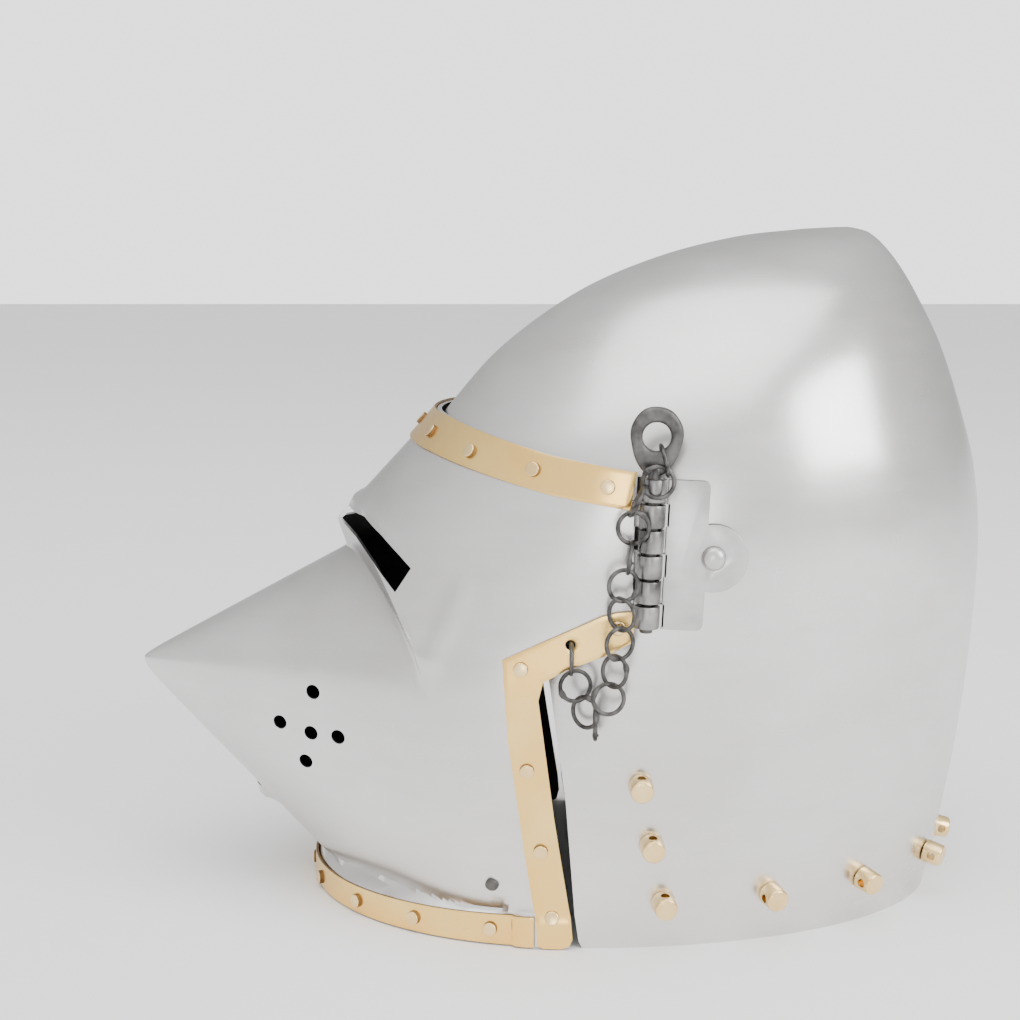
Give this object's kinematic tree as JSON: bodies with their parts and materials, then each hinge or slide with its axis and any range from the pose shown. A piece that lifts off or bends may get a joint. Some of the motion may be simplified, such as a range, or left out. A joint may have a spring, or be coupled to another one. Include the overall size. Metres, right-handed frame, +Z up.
{
  "type": "visored bascinet helmet",
  "caption": "Pointed steel bascinet with a hinged pig-face visor, brass edging, draw pins on chains and drilled posts round the rim.",
  "frame": {"origin": "middle of the overall box on the plane the rim stands on", "axes": "+X to the wearer's left, -Y forward along the snout, +Z up"},
  "size_m": [0.2454, 0.3676, 0.2872],
  "materials": {
    "steel": "satin polished plate",
    "brass": "polished pale brass",
    "iron": "dark rough iron"
  },
  "bodies": {
    "skull": {"skull": "steel", "pivot_rivet_left": "steel", "pivot_rivet_right": "steel", "vervelle_1": "brass", "vervelle_2": "brass", "vervelle_3": "brass", "vervelle_4": "brass", "vervelle_5": "brass", "vervelle_6": "brass", "vervelle_7": "brass", "vervelle_8": "brass", "vervelle_9": "brass", "vervelle_10": "brass", "vervelle_11": "brass", "vervelle_12": "brass", "vervelle_13": "brass"},
    "visor": {"visor": "steel", "skull_leaf_left": "steel", "skull_leaf_right": "steel", "visor_leaf_left": "steel", "visor_leaf_right": "steel", "brow_band": "brass", "throat_band": "brass", "trim_left": "brass", "trim_right": "brass", "brow_rivet_1": "brass", "brow_rivet_2": "brass", "brow_rivet_3": "brass", "brow_rivet_4": "brass", "brow_rivet_5": "brass", "brow_rivet_6": "brass", "brow_rivet_7": "brass", "brow_rivet_8": "brass", "brow_rivet_9": "brass", "trim_rivet_1": "brass", "trim_rivet_2": "brass", "trim_rivet_3": "brass", "trim_rivet_4": "brass", "trim_rivet_5": "brass", "trim_rivet_6": "brass", "trim_rivet_7": "brass", "trim_rivet_8": "brass", "trim_rivet_9": "brass", "trim_rivet_10": "brass", "throat_rivet_1": "brass", "throat_rivet_2": "brass", "throat_rivet_3": "brass", "throat_rivet_4": "brass", "throat_rivet_5": "brass", "throat_rivet_6": "brass", "throat_rivet_7": "brass", "throat_rivet_8": "brass", "throat_rivet_9": "brass", "hinge_pin_left": "iron", "hinge_pin_right": "iron", "chain_left": "iron", "chain_right": "iron", "screw_left": "iron", "screw_right": "iron"}
  },
  "joints": [
    {"name": "visor_tilt", "type": "hinge", "parent": "skull", "child": "visor", "pos_m": [0, 0.0575, 0.1603], "axis": [-1, 0, 0], "range_deg": [0, 50]}
  ]
}
